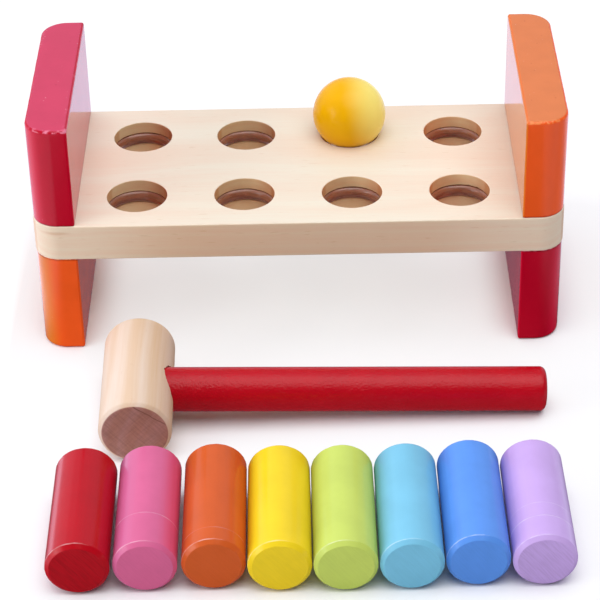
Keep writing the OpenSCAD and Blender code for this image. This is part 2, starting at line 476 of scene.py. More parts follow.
def grid_of(tree, shape, given):
    """Copies of a shape on a grid round the origin, each tipped a little its own way."""
    columns, rows = given["Columns"], given["Rows"]
    length = product(tree, calc(tree, "SUBTRACT", columns, 1.0), given["Pitch"])
    width = product(tree, calc(tree, "SUBTRACT", rows, 1.0), given["Row pitch"])
    inputs = {"Size X": length, "Size Y": width, "Vertices X": columns, "Vertices Y": rows}
    places = add_node(tree, "GeometryNodeMeshGrid", inputs).outputs[0]
    most, least = given["Tilt"], product(tree, given["Tilt"], -1.0)
    inputs = {0: combined(tree, least, least), 1: combined(tree, most, most), "Seed": given["Seed"]}
    turn = add_node(tree, "FunctionNodeRandomValue", inputs, data_type="FLOAT_VECTOR").outputs[0]
    inputs = {"Points": places, "Instance": shape, "Rotation": turn}
    return add_node(tree, "GeometryNodeInstanceOnPoints", inputs).outputs[0]


def rubber(name, colour):
    """Moulded rubber with a soft gloss and faint streaks round it."""
    material, tree, surface, place = new_material(name, Specular_IOR_Level=RUBBER_SHINE, IOR=1.5,
                                                  Subsurface_Weight=0.3, Subsurface_Scale=0.003)
    streaks = speckle(tree, place, RUBBER_STREAKS)
    darker = tuple(0.82 * part for part in colour)
    mixed = colour_mix(tree, fade(tree, streaks, 0.3, 0.7), darker, colour)
    roughness = calc(tree, "MULTIPLY_ADD", streaks, 0.15, 0.20)
    finish_surface(tree, surface, mixed, roughness, streaks, RUBBER_RELIEF)
    return material


ring_low, ring_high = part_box("grip_ring_front_1")
ring_sizes = {
    "Columns": 4, "Rows": 2,
    "Pitch": (hole_middles[3].x - hole_middles[0].x) / 3,
    "Row pitch": hole_middles[4].y - hole_middles[0].y,
    "Ring radius": (ring_high.x - ring_low.x - RING_THICKNESS) / 2,
    "Thickness": RING_THICKNESS, "Height": RING_HEIGHT,
    "Tilt": math.radians(RING_TILT),
    "Seed": 4,
    "Material": rubber("brown_rubber", RUBBER),
}
tree, given = node_group("grip_rings", ring_sizes)
path = add_node(tree, "GeometryNodeCurvePrimitiveCircle",
                {"Resolution": 96, "Radius": given["Ring radius"]}).outputs[0]
tube = calc(tree, "DIVIDE", given["Thickness"], 2.0)
section = add_node(tree, "GeometryNodeCurvePrimitiveCircle",
                   {"Resolution": 24, "Radius": tube}).outputs[0]
taller = calc(tree, "DIVIDE", given["Height"], given["Thickness"])
inputs = {0: section, "Scale": combined(tree, 1.0, taller, 1.0)}
section = add_node(tree, "GeometryNodeTransform", inputs).outputs[0]
ring = add_node(tree, "GeometryNodeCurveToMesh", {"Curve": path, "Profile Curve": section})
close_group(tree, grid_of(tree, ring.outputs[0], given), given["Material"])
grip_rings = grown("grip_rings", tree, ring_sizes)
rings_middle = sum(hole_middles, Vector()) / len(hole_middles)
rings_middle.z += RING_LIFT
grip_rings.data.transform(Matrix.Translation(rings_middle))
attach(grip_rings, "bench")
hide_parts(*hole_names)

# Two beech dowels at each end run through the deck into both blocks. They are bought in,
# pressed with flutes that let the glue out, and chamfered at both ends.
DOWEL_PALE = (0.640, 0.450, 0.270)
DOWEL_DEEP = (0.480, 0.300, 0.160)
DOWEL_PITH = (0.0, -0.3)
DOWEL_BANDS = 0.1
DOWEL_FLUTES = 18
FLUTE_DEPTH = 0.00022
FLUTE_STEPS = 8.0
DOWEL_CHAMFER = 0.0012
DOWEL_CHAMFER_SLOPE = 0.7

dowel_names = [f"dowel_{side}_{row}" for side in ("left", "right") for row in ("front", "back")]
dowel_boxes = [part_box(name) for name in dowel_names]
dowel_middles = [(low + high) / 2 for low, high in dowel_boxes]
dowel_size = dowel_boxes[0][1] - dowel_boxes[0][0]
dowel_sizes = {
    "Columns": 2, "Rows": 2,
    "Pitch": dowel_middles[2].x - dowel_middles[0].x,
    "Row pitch": dowel_middles[1].y - dowel_middles[0].y,
    "Radius": dowel_size.x / 2,
    "Length": dowel_size.z,
    "Flutes": DOWEL_FLUTES,
    "Flute depth": FLUTE_DEPTH,
    "Chamfer": DOWEL_CHAMFER,
    "Tilt": 0.0,
    "Seed": 1,
    "Material": wood("dowel_beech", DOWEL_PALE, DOWEL_DEEP, "X", DOWEL_PITH, DOWEL_BANDS),
}
tree, given = node_group("fluted_dowels", dowel_sizes)
inputs = {"Vertices": product(tree, given["Flutes"], FLUTE_STEPS), "Side Segments": 42,
          "Fill Segments": 1, "Radius": given["Radius"], "Depth": given["Length"]}
bar = add_node(tree, "GeometryNodeMeshCylinder", inputs).outputs[0]
x, y, z = xyz(tree, add_node(tree, "GeometryNodeInputPosition").outputs[0])
angle = product(tree, calc(tree, "ARCTAN2", y, x), given["Flutes"])
flute = product(tree, calc(tree, "ADD", calc(tree, "COSINE", angle), 1.0), 0.5,
                given["Flute depth"])
inside = calc(tree, "MULTIPLY_ADD", given["Length"], -0.5, calc(tree, "ABSOLUTE", z))
chamfer = calc(tree, "MAXIMUM", calc(tree, "ADD", inside, given["Chamfer"]), 0.0)
cut = calc(tree, "MULTIPLY_ADD", chamfer, DOWEL_CHAMFER_SLOPE, flute)
keep = calc(tree, "SUBTRACT", 1.0, calc(tree, "DIVIDE", cut, given["Radius"]))
shaped = combined(tree, product(tree, x, keep), product(tree, y, keep), z)
bar = add_node(tree, "GeometryNodeSetPosition", {"Geometry": bar, "Position": shaped}).outputs[0]
close_group(tree, grid_of(tree, bar, given), given["Material"])
dowels = grown("dowels", tree, dowel_sizes)
dowels.data.transform(Matrix.Translation(sum(dowel_middles, Vector()) / len(dowel_middles)))
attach(dowels, "bench")
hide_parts(*dowel_names)

# The four end blocks are sawn to the outline of the deck's ends, rounded over and sprayed with
# gloss paint: two crimson and two orange, each colour once above and once below. Dust has left
# specks in the paint, and it is thin and worn where it runs over an edge. Their tops and the
# faces that look left or right are painted in other tints, as painted light and sheen, and a
# dark line of glue and painted shade runs where they meet the deck.
CRIMSON = (0.478, 0.001, 0.017)
CRIMSON_SIDE_PAINTED_LIGHT = (0.620, 0.002, 0.034)
CRIMSON_TOP_PAINTED_SHEEN = (0.600, 0.046, 0.105)
CRIMSON_WORN = (0.80, 0.23, 0.33)
CRIMSON_SHINE = 0.16
CRIMSON_DUST = 1.0
ORANGE = (0.845, 0.098, 0.011)
ORANGE_LEFT_PAINTED_LIGHT = (0.690, 0.175, 0.012)
ORANGE_RIGHT_PAINTED_LIGHT = (0.950, 0.110, 0.010)
ORANGE_TOP_PAINTED_SHEEN = (0.680, 0.190, 0.055)
ORANGE_WORN = (0.86, 0.27, 0.08)
ORANGE_SHINE = 0.18
ORANGE_DUST = 0.8
PAINT_CLOUDS = 60
PAINT_DEEPER = 0.94
BLOCK_ROUGHNESS = 0.11
BLOCK_PEEL = 0.000006
DUST = (
    (330.0, (0.95, 0.75, 0.75), "MIX", 0.55),
    (230.0, (0.45, 0.20, 0.20), "MULTIPLY", 0.7),
)
DUST_SIZES = (0.05, 0.15)
JOINT_GLUE_AND_PAINTED_SHADE = (0.55, 0.40, 0.45)
JOINT_WIDTHS = (0.0014, 0.0003)
JOINT_PATCHES = 280
WORN_FRONT = (0.0475, 0.0405)
WORN_SLOPE = 0.65
WORN_RUBS = 420
WORN_ZONES = 48
BLOCK_OUTER_CORNER = 0.0136
BLOCK_INNER_CORNER = 0.0013
BLOCK_OPEN_EDGE = 0.0016
BLOCK_GLUED_EDGE = 0.0004
BLOCK_EDGE_WAVE = 0.0002


def apart(tree, value, other):
    """How far two numbers are apart."""
    return calc(tree, "ABSOLUTE", calc(tree, "SUBTRACT", value, other))


def paint(name, colour, shine, roughness, painted_light_turns=(), peel=0.00001, peel_grain=1300):
    """Gloss paint on wood, with faint clouds and orange peel.

    Each painted light turn takes it to another colour on faces along an axis, as painted light
    or sheen on the faces that look that way. It has the axis, how far they face that way where
    it starts and where it is complete, and the colour.
    """
    material, tree, surface, place = new_material(name, Specular_IOR_Level=shine)
    clouds = speckle(tree, place, PAINT_CLOUDS, 4.0)
    deeper = tuple(PAINT_DEEPER * part for part in colour)
    mixed = colour_mix(tree, fade(tree, clouds, 0.3, 0.7), deeper, colour)
    for axis, start, end, other in painted_light_turns:
        cloudy = fade(tree, clouds, 0.35, 0.65, 0.0, 0.05)
        other = colour_mix(tree, cloudy, other, (0.0, 0.0, 0.0))
        painted_light_share = fade(tree, xyz(tree, normal(tree))[axis], start, end)
        mixed = colour_mix(tree, painted_light_share, mixed, other)
    rough = calc(tree, "MULTIPLY_ADD", clouds, 0.08, roughness - 0.04)
    finish_surface(tree, surface, mixed, rough, speckle(tree, place, peel_grain), peel)
    return material


def block_paint(name, colour, shine, painted_light_turns, dust, worn):
    """Gloss paint with dust in it, a dark line of glue and painted shade where it meets the deck,
    and worn edges.
    """
    material = paint(name, colour, shine, BLOCK_ROUGHNESS, painted_light_turns, BLOCK_PEEL)
    tree, surface, place, facing, mixed = reopened(material)
    settled = fade(tree, facing[2], 0.2, 0.8, 0.25, 1.0)
    for scale, shade, blend, share in DUST:
        cells = add_node(tree, "ShaderNodeTexVoronoi", {"Vector": place, "Scale": scale})
        chance, size, _ = xyz(tree, cells.outputs["Color"])
        size = fade(tree, size, 0.0, 1.0, *DUST_SIZES)
        speck = fade(tree, cells.outputs["Distance"], size, 0.0)
        chance = fade(tree, chance, 0.30, 0.95, 0.0, share * dust)
        mixed = colour_mix(tree, product(tree, speck, chance, settled), mixed, shade, blend)
    _, forward, height = xyz(tree, place)
    # A dark line where the block meets the deck: partly glue, partly painted shade.
    joint = calc(tree, "MINIMUM", apart(tree, height, deck_high.z), apart(tree, height, deck_low.z))
    patchy = fade(tree, speckle(tree, place, JOINT_PATCHES), 0.3, 0.6, 0.35, 0.9)
    joint = product(tree, fade(tree, joint, *JOINT_WIDTHS), patchy)
    mixed = colour_mix(tree, joint, mixed, JOINT_GLUE_AND_PAINTED_SHADE, "MULTIPLY")
    rubs = fade(tree, speckle(tree, place, WORN_RUBS, 5.0), 0.42, 0.60)
    zones = fade(tree, speckle(tree, place, WORN_ZONES, 1.0), 0.56, 0.66, 0.0, 0.2)
    zones = calc(tree, "MAXIMUM", zones, fade(tree, forward, *WORN_FRONT, 0.0, 0.9))
    ridge = fade(tree, apart(tree, facing[2], WORN_SLOPE), 0.5, 0.2)
    share = product(tree, attribute(tree, "edge"), rubs, zones, ridge)
    mixed = colour_mix(tree, share, mixed, worn)
    tree.links.new(mixed, surface.inputs["Base Color"])
    return material


def block_mesh(low, high, side, low_edge, high_edge):
    """A block whose outer corners are large and round. Side is -1 on the left, 1 on the right."""
    outer, inner = BLOCK_OUTER_CORNER, BLOCK_INNER_CORNER
    radii = (outer, inner, inner, outer) if side < 0 else (inner, outer, outer, inner)
    bm = new_bmesh()
    loops = slab_loops(bm, low, high, radii, low_edge, high_edge, BLOCK_EDGE_WAVE)
    bm.faces.new(loops[-1])
    bm.faces.new(loops[0][::-1])
    return bm


# Painted light and sheen: the tops and the faces that look left or right take their own tints.
crimson_painted_light_turns = [(0, -0.35, -0.90, CRIMSON_SIDE_PAINTED_LIGHT), (0, 0.35, 0.90, CRIMSON_SIDE_PAINTED_LIGHT),
                    (2, 0.85, 0.995, CRIMSON_TOP_PAINTED_SHEEN)]
orange_painted_light_turns = [(0, -0.15, -0.80, ORANGE_LEFT_PAINTED_LIGHT), (0, 0.30, 0.95, ORANGE_RIGHT_PAINTED_LIGHT),
                   (2, 0.85, 0.995, ORANGE_TOP_PAINTED_SHEEN)]
crimson = block_paint("crimson_gloss", CRIMSON, CRIMSON_SHINE, crimson_painted_light_turns, CRIMSON_DUST,
                      CRIMSON_WORN)
orange = block_paint("orange_gloss", ORANGE, ORANGE_SHINE, orange_painted_light_turns, ORANGE_DUST,
                     ORANGE_WORN)
for level in ("upper", "lower"):
    for side, side_name in ((-1, "left"), (1, "right")):
        node = f"block_{level}_{side_name}"
        low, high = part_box(node)
        edges = (BLOCK_GLUED_EDGE, BLOCK_OPEN_EDGE)
        low_edge, high_edge = edges if level == "upper" else edges[::-1]
        red = (level == "upper") == (side < 0)
        block = finished(f"painted_{node}", block_mesh(low, high, side, low_edge, high_edge),
                         crimson if red else orange)
        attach(block, "bench")
        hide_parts(node)

# The ball is turned from wood, sealed and sprayed a warm yellow, which is painted paler on its
# right side as painted light. It rests on the rim of the third hole of the back row.
BALL_YELLOW = (0.831, 0.420, 0.001)
BALL_PAINTED_LIGHT = (0.980, 0.890, 0.230)
BALL_PAINTED_LIGHT_SIDE = (0.985, 0.0, 0.17)
BALL_SHINE = 0.10
BALL_ROUGHNESS = 0.22
BALL_LEVELS = 5


def towards(tree, vector, direction):
    """How far a place or a direction goes that way."""
    inputs = {0: vector, 1: direction}
    return add_node(tree, "ShaderNodeVectorMath", inputs, operation="DOT_PRODUCT").outputs["Value"]


ball_low, ball_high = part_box("ball")
ball_radius = (ball_high.x - ball_low.x) / 2
bm = new_bmesh()
bmesh.ops.create_cube(bm, size=1.0)
bmesh.ops.subdivide_edges(bm, edges=bm.edges, cuts=2 ** BALL_LEVELS - 1, use_grid_fill=True)
for vertex in bm.verts:
    vertex.co = vertex.co.normalized() * ball_radius + (ball_low + ball_high) / 2
ball_paint = paint("yellow_gloss", BALL_YELLOW, BALL_SHINE, BALL_ROUGHNESS)
tree, surface, place, facing, mixed = reopened(ball_paint)
# Painted light: the ball's right side is painted paler.
painted_lighter = fade(tree, towards(tree, normal(tree), BALL_PAINTED_LIGHT_SIDE), -0.1, 0.95)
mixed = colour_mix(tree, painted_lighter, mixed, BALL_PAINTED_LIGHT)
tree.links.new(mixed, surface.inputs["Base Color"])
ball = finished("yellow_ball", bm, ball_paint)
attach(ball, "ball")
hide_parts("ball")

# The eight pegs are cut from dowel, their rims broken, dipped in satin paint and left lying side
# by side. A lathe tool has left a fine ring round three of them, and the saw has left fine lines
# on their ends. Pale lines along the upper left of each rim and along each lathe ring are
# painted highlights, and the pink peg's paint is more magenta on its left and redder on its
# right, as painted reflection.
PEG_PAINTS = {
    "red": (0.469, 0.001, 0.008),
    "pink": (0.668, 0.129, 0.273),
    "orange": (0.622, 0.103, 0.017),
    "yellow": (0.862, 0.621, 0.014),
    "lime": (0.548, 0.657, 0.122),
    "sky": (0.192, 0.526, 0.702),
    "blue": (0.104, 0.292, 0.770),
    "lilac": (0.560, 0.375, 0.732),
}
# Painted reflection: the pink peg is painted more magenta on its left and redder on its right.
PEG_PAINTED_LIGHT_TURNS = {
    "pink": [(0, -0.20, -0.70, (0.640, 0.137, 0.295)), (0, 0.35, 0.95, (0.720, 0.090, 0.190))],
}
PEG_RINGS = {
    "pink": [(0.0226, 0.28)],
    "orange": [(0.0105, 0.11)],
    "lilac": [(0.0160, 0.34), (0.0254, 0.14)],
}
PEG_SAW_MARKS = {"red": 0.6, "lilac": 0.3}
PEG_FAINT_SAW_MARKS = 0.1
PEG_SAW_ANGLE = 38
PEG_SHINE = 0.24
PEG_ROUGHNESS = 0.22
PEG_LENGTH = 0.075
PEG_RIM = 0.0020
PEG_OUTER_SOFTNESS = 0.0009
PEG_INNER_SOFTNESS = 0.0006
PEG_RIM_UNEVEN = 0.00022
PEG_RIM_HIGHLIGHT_STRENGTH = (0.2, 0.5)
PEG_RIM_HIGHLIGHT_SIDE = (-0.55, -0.45, 0.70)
PEG_RIM_LINE = (0.15, 0.40)
PEG_RIM_PATCHES = 210
PEG_TURN = 0.5
PEG_STEPS = 112
RING_GROOVE = 0.0001
RING_WIDTH = 0.0004
RING_LINE = (0.0005, 0.0001)
RING_PAINTED_HIGHLIGHT = (0.9, 0.85, 0.9)
RING_PATCHES = 150
SAW_LINES = (1300, 200, 90)


def index_switch(tree, values):
    """A value for each point, in the points' order."""
    switch = add_node(tree, "GeometryNodeIndexSwitch", data_type="FLOAT")
    while len(switch.index_switch_items) < len(values):
        switch.index_switch_items.new()
    tree.links.new(add_node(tree, "GeometryNodeInputIndex").outputs[0], switch.inputs[0])
    for i, value in enumerate(values):
        if isinstance(value, bpy.types.NodeSocket):
            tree.links.new(value, switch.inputs[i + 1])
        else:
            switch.inputs[i + 1].default_value = value
    return switch.outputs[0]


def bar_sizes(radius, length, rim, outer, inner, steps, material, ring=0.0):
    """The sizes of a turned bar, with a fine groove where it has a ring."""
    return {
        "Radius": radius, "Length": length, "Rim": rim,
        "Outer softness": outer, "Inner softness": inner,
        "Groove from end": ring or length / 2, "Groove depth": RING_GROOVE if ring else 0.0,
        "Groove width": RING_WIDTH, "Steps": steps, "Material": material,
    }


def turned_bar_group():
    """A tree for a bar turned on a lathe along Z, its profile carried once round a circle.

    Its rims are chamfers, softened at both edges.
    """
    tree, given = node_group("turned_bar", bar_sizes(0.0, 0.0, 0.0, 0.0, 0.0, 0, None))
    radius, rim = given["Radius"], given["Rim"]
    outer, inner = given["Outer softness"], given["Inner softness"]
    bend = given["Groove width"]
    half = calc(tree, "DIVIDE", given["Length"], 2.0)
    near = product(tree, half, -1.0)
    groove = calc(tree, "ADD", near, given["Groove from end"])
    before = calc(tree, "SUBTRACT", groove, bend)
    after = calc(tree, "ADD", groove, bend)
    rim_near, rim_far = calc(tree, "ADD", near, rim), calc(tree, "SUBTRACT", half, rim)
    middle, face, dip = (product(tree, size, -1.0) for size in (radius, rim, given["Groove depth"]))
    across = index_switch(tree, [middle, face, 0.0, 0.0, dip, 0.0, 0.0, face, middle])
    along = index_switch(tree, [near, near, rim_near, before, groove, after, rim_far, half, half])
    turns = index_switch(tree, [0.0, inner, outer, bend, bend, bend, outer, inner, 0.0])
    points = add_node(tree, "GeometryNodeMeshLine", {"Count": 9}).outputs[0]
    inputs = {"Geometry": points, "Position": combined(tree, across, along)}
    points = add_node(tree, "GeometryNodeSetPosition", inputs)
    line = add_node(tree, "GeometryNodeMeshToCurve", {0: points.outputs[0]}).outputs[0]
    inputs = {"Curve": line, "Count": 6, "Radius": turns, "Limit Radius": True}
    line = add_node(tree, "GeometryNodeFilletCurve", inputs, mode="POLY").outputs[0]
    inputs = {"Resolution": given["Steps"], "Radius": radius}
    circle = add_node(tree, "GeometryNodeCurvePrimitiveCircle", inputs).outputs[0]
    circle = add_node(tree, "GeometryNodeSetCurveNormal", {"Curve": circle}, mode="Z_UP").outputs[0]
    bar = add_node(tree, "GeometryNodeCurveToMesh", {"Curve": circle, "Profile Curve": line})
    close_group(tree, bar.outputs[0], given["Material"])
    return tree


def turned(name, tree, sizes, matrix, uneven=0.0):
    """A turned bar put in its place, its faces outwards and its ends flat.

    Its rims can be a little uneven, as thick paint leaves them. A line round each is marked for a
    painted highlight.
    """
    piece = grown(name, tree, sizes)
    bm = new_bmesh()
    bm.from_mesh(piece.data)
    mark = bm.verts.layers.float["edge"]
    rim_width = 1.3 * sizes["Rim"]
    for vertex in bm.verts:
        inside = abs(vertex.co.z) - (sizes["Length"] / 2 - rim_width)
        reach = vertex.co.xy.length
        if inside > 0 and reach > sizes["Radius"] - rim_width:
            seed = Vector((vertex.co.x, vertex.co.y, matrix.translation.x * 9)) * 420
            vertex.co.xy *= 1 - uneven * abs(noise.noise(seed)) / reach
            share = inside / sizes["Rim"]
            vertex[mark] = 1.0 if PEG_RIM_LINE[0] < share < PEG_RIM_LINE[1] else 0.0
    bm.transform(matrix)
    material = piece.data.materials[0]
    bpy.data.objects.remove(piece)
    return finished(name, bm, material)


def saw_lines(tree, place, along_y, angle):
    """Slanting lines that a saw leaves on ends cut across Y, from 0 to 1."""
    inputs = {"Vector": place, "Axis": (0, 1, 0), "Angle": math.radians(angle)}
    slanted = add_node(tree, "ShaderNodeVectorRotate", inputs).outputs[0]
    lines = fade(tree, speckle(tree, slanted, SAW_LINES, 3.0), 0.35, 0.7)
    ends = fade(tree, calc(tree, "ABSOLUTE", along_y), 0.93, 0.99)
    return product(tree, ends, lines)


def peg_paint(name, colour, saw_marks, rings, painted_light_turns):
    """Satin paint that shows the saw's lines on the ends, and pale lines at rims and rings as
    painted highlights.

    Each ring has its place along Y and its strength.
    """
    material = paint(name, colour, PEG_SHINE, PEG_ROUGHNESS, painted_light_turns)
    tree, surface, place, facing, mixed = reopened(material)
    lines = saw_lines(tree, place, facing[1], PEG_SAW_ANGLE)
    shade = tuple(0.55 * part for part in colour)
    mixed = colour_mix(tree, product(tree, lines, saw_marks), mixed, shade)
    # Painted highlight: a pale patchy line on the upper left of each rim.
    rim_highlight = fade(tree, speckle(tree, place, PEG_RIM_PATCHES), 0.38, 0.62, *PEG_RIM_HIGHLIGHT_STRENGTH)
    side = fade(tree, towards(tree, normal(tree), PEG_RIM_HIGHLIGHT_SIDE), 0.55, 0.85)
    painted_lighter = tuple(0.45 + 0.55 * part for part in colour)
    mixed = colour_mix(tree, product(tree, attribute(tree, "edge"), rim_highlight, side), mixed, painted_lighter)
    # Painted highlight: a pale line is painted along each lathe ring.
    patchy = fade(tree, speckle(tree, place, RING_PATCHES), 0.35, 0.65, 0.3, 1.0)
    for ring, strength in rings:
        line = fade(tree, apart(tree, xyz(tree, place)[1], ring), *RING_LINE, 0.0, strength)
        mixed = colour_mix(tree, product(tree, line, patchy), mixed, RING_PAINTED_HIGHLIGHT)
    tree.links.new(mixed, surface.inputs["Base Color"])
    return material


bar_tree = turned_bar_group()
for colour_name, colour in PEG_PAINTS.items():
    node = f"peg_{colour_name}"
    low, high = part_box(node)
    peg_rings = PEG_RINGS.get(colour_name, [])
    places = [(low.y + ring, strength) for ring, strength in peg_rings]
    saw_marks = PEG_SAW_MARKS.get(colour_name, PEG_FAINT_SAW_MARKS)
    satin = peg_paint(f"{colour_name}_satin", colour, saw_marks, places,
                      PEG_PAINTED_LIGHT_TURNS.get(colour_name, ()))
    groove = peg_rings[0][0] if peg_rings else 0.0
    peg_sizes = bar_sizes((high.z - low.z) / 2, PEG_LENGTH, PEG_RIM, PEG_OUTER_SOFTNESS,
                          PEG_INNER_SOFTNESS, PEG_STEPS, satin, groove)
    stand = Matrix.Translation((low + high) / 2) @ Matrix.Rotation(math.radians(PEG_TURN), 4, "Z")
    lie = stand @ Matrix.Rotation(math.radians(90), 4, "X")
    peg = turned(f"turned_{node}", bar_tree, peg_sizes, lie, PEG_RIM_UNEVEN)
    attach(peg, node)
    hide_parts(node)

# The mallet's head is a bar of bare wood, turned, rounded over at its rims and bored across
# for the handle. Its ends show brown end grain with the marks of the saw.
HEAD_PALE = (0.781, 0.645, 0.532)
HEAD_DEEP = (0.700, 0.480, 0.290)
HEAD_PITH = (-0.030, 0.000)
HEAD_BANDS = 0.26
HEAD_HEART = (0.068, 0.045, 0.4)
HEAD_FINE = 0.4
HEAD_END_TINT = (0.66, 0.46, 0.49)
HEAD_SAW_MARKS = ((40, 0.35), (-48, 0.25))
HEAD_SAW_SHADE = (0.240, 0.110, 0.080)
CRACK_BROWN = (0.200, 0.085, 0.050)
CRACK_FACING = (0.566, 0.825)
CRACK_OFFSET = 0.0135
CRACK_WANDER = 0.0016
CRACK_WAVES = 160
CRACK_WIDTH = 0.0006
HEAD_LENGTH = 0.0765
HEAD_RADIUS = 0.0185
HEAD_RIM = 0.0019
HEAD_OUTER_SOFTNESS = 0.0020
HEAD_INNER_SOFTNESS = 0.0014
HEAD_STEPS = 128
HEAD_ROWS = 10
HEAD_ROW_SPACING = 0.0015
MALLET_TURN = 1.1
HANDLE_FORWARD = 0.0012
HANDLE_RADIUS = 0.0115
HANDLE_LENGTH = 0.22
HANDLE_IN_HEAD = 0.0285
HANDLE_ROUNDING = 0.003
SOCKET_GAP = 0.0003
SOCKET_CHIPS = 0.0013
SOCKET_STEPS = 96

handle_out = HEAD_RADIUS + HANDLE_LENGTH - HANDLE_IN_HEAD
handle_lean = math.asin((HEAD_RADIUS - HANDLE_RADIUS) / (handle_out - HANDLE_ROUNDING))
head_low, head_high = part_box("mallet_head")
mallet_place = (Matrix.Translation((head_low + head_high) / 2)
                @ Matrix.Rotation(math.radians(MALLET_TURN), 4, "Z")
                @ Matrix.Rotation(handle_lean, 4, "Y"))


def handle_line(distance):
    """Lays Z along the handle's line, so far from the middle of the head."""
    shift = Matrix.Translation((distance, -HANDLE_FORWARD, 0))
    return mallet_place @ (shift @ Matrix.Rotation(math.pi / 2, 4, "Y"))


head_wood = wood("bare_head_wood", HEAD_PALE, HEAD_DEEP, "Y", HEAD_PITH, HEAD_BANDS,
                 end_tint=HEAD_END_TINT, heart=HEAD_HEART, fine=HEAD_FINE)
tree, surface, place, facing, mixed = reopened(head_wood)
for angle, strength in HEAD_SAW_MARKS:
    lines = saw_lines(tree, place, facing[1], angle)
    mixed = colour_mix(tree, product(tree, lines, strength), mixed, HEAD_SAW_SHADE)
crack_facing = mallet_place.to_3x3() @ Vector((CRACK_FACING[0], 0.0, CRACK_FACING[1])).normalized()
crack_place = mallet_place @ Vector((0.0, -HEAD_LENGTH / 2, CRACK_OFFSET / CRACK_FACING[1]))
across = towards(tree, place, crack_facing)
across = calc(tree, "SUBTRACT", across, crack_facing.dot(crack_place))
across = calc(tree, "MULTIPLY_ADD", speckle(tree, place, CRACK_WAVES), CRACK_WANDER, across)
crack = fade(tree, apart(tree, across, CRACK_WANDER / 2), CRACK_WIDTH, 0.0, 0.0, 0.8)
crack = product(tree, crack, fade(tree, facing[1], -0.90, -0.97))
mixed = colour_mix(tree, crack, mixed, CRACK_BROWN)
tree.links.new(mixed, surface.inputs["Base Color"])
head_sizes = bar_sizes(HEAD_RADIUS, HEAD_LENGTH, HEAD_RIM, HEAD_OUTER_SOFTNESS,
                       HEAD_INNER_SOFTNESS, HEAD_STEPS, head_wood)
along_y = Matrix.Rotation(math.radians(-90), 4, "X")
head = turned("mallet_head_bar", bar_tree, head_sizes, mallet_place @ along_y)
bm = new_bmesh()
bm.from_mesh(head.data)
for step in range(-HEAD_ROWS, HEAD_ROWS + 1):
    row = mallet_place @ Vector((0.0, step * HEAD_ROW_SPACING, 0.0))
    everything = bm.verts[:] + bm.edges[:] + bm.faces[:]
    bmesh.ops.bisect_plane(bm, geom=everything, plane_co=row, plane_no=mallet_place.col[1].xyz)
bm.to_mesh(head.data)
bm.free()
bm = new_bmesh()
socket_radius = HANDLE_RADIUS + SOCKET_GAP
bmesh.ops.create_cone(bm, cap_ends=True, segments=SOCKET_STEPS, depth=2 * HEAD_RADIUS,
                      radius1=socket_radius, radius2=socket_radius)
for vertex in bm.verts:
    seed = Vector((vertex.co.x, vertex.co.y, 0.0)) * 330
    vertex.co.xy *= 1 + SOCKET_CHIPS * abs(noise.noise(seed)) / HANDLE_RADIUS
bm.transform(handle_line(2 * HEAD_RADIUS - HANDLE_IN_HEAD))
drill = finished("drill", bm, head_wood)
head.modifiers.clear()
boring = head.modifiers.new("boring", "BOOLEAN")
boring.object = drill
boring.solver = "EXACT"
evaluated = head.evaluated_get(bpy.context.evaluated_depsgraph_get())
bored = bpy.data.meshes.new_from_object(evaluated)
bpy.data.objects.remove(drill)
bpy.data.objects.remove(head)
bm = bmesh.new()
bm.from_mesh(bored)
head = finished("mallet_head_bar", bm, head_wood)
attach(head, "mallet")
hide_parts("mallet_head")

# The handle is a straight turned bar in glossy red paint with a fine orange peel. One end is
# glued into the head and the other, rounded over, rests on the floor.
HANDLE_RED = (0.493, 0.002, 0.010)
HANDLE_SHINE = 0.22
HANDLE_ROUGHNESS = 0.21
HANDLE_PEEL = 0.00030
HANDLE_PEEL_GRAIN = 950
HANDLE_RIM = 0.0018

handle_gloss = paint("red_handle_gloss", HANDLE_RED, HANDLE_SHINE, HANDLE_ROUGHNESS,
                     peel=HANDLE_PEEL, peel_grain=HANDLE_PEEL_GRAIN)
handle_sizes = bar_sizes(HANDLE_RADIUS, HANDLE_LENGTH, HANDLE_RIM, HANDLE_ROUNDING,
                         HANDLE_ROUNDING, PEG_STEPS, handle_gloss)
handle_middle = HEAD_RADIUS - HANDLE_IN_HEAD + HANDLE_LENGTH / 2
handle = turned("mallet_handle_bar", bar_tree, handle_sizes, handle_line(handle_middle))
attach(handle, "mallet")
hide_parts("mallet_handle")

# The set lies on a plain white floor that runs on without an edge. The camera sees it white
# away from the set, and with the set's own soft shadow close by. Glossy paint shows it pale
# behind and beside the set, and darker in front of and under the bench.
FLOOR_SIZE = 8.0
FLOOR_GAP = 0.00005
FLOOR_WHITE = (0.90, 0.90, 0.90, 1.0)
FLOOR_COOL = (0.97, 1.00, 1.24)
FLOOR_LIFT = 0.60
FLOOR_OPEN_REACH = 0.03
FLOOR_OPEN = (0.40, 0.90)
FLOOR_NEAR, FLOOR_FAR = 0.25, 0.60
SHEEN_FRONT, SHEEN_BACK, SHEEN_UNDER = 0.10, 1.08, 0.15
SHEEN_LEFT, SHEEN_RIGHT = 1.9, 1.2
LEFT_ACROSS = (-0.185, -0.130)
RIGHT_ACROSS = (0.130, 0.200)
BACK_AWAY = (0.08, 0.20)
BESIDE_BENCH = 0.5
BESIDE_ACROSS = (0.100, 0.130)
BESIDE_BACK = (-0.06, 0.02)

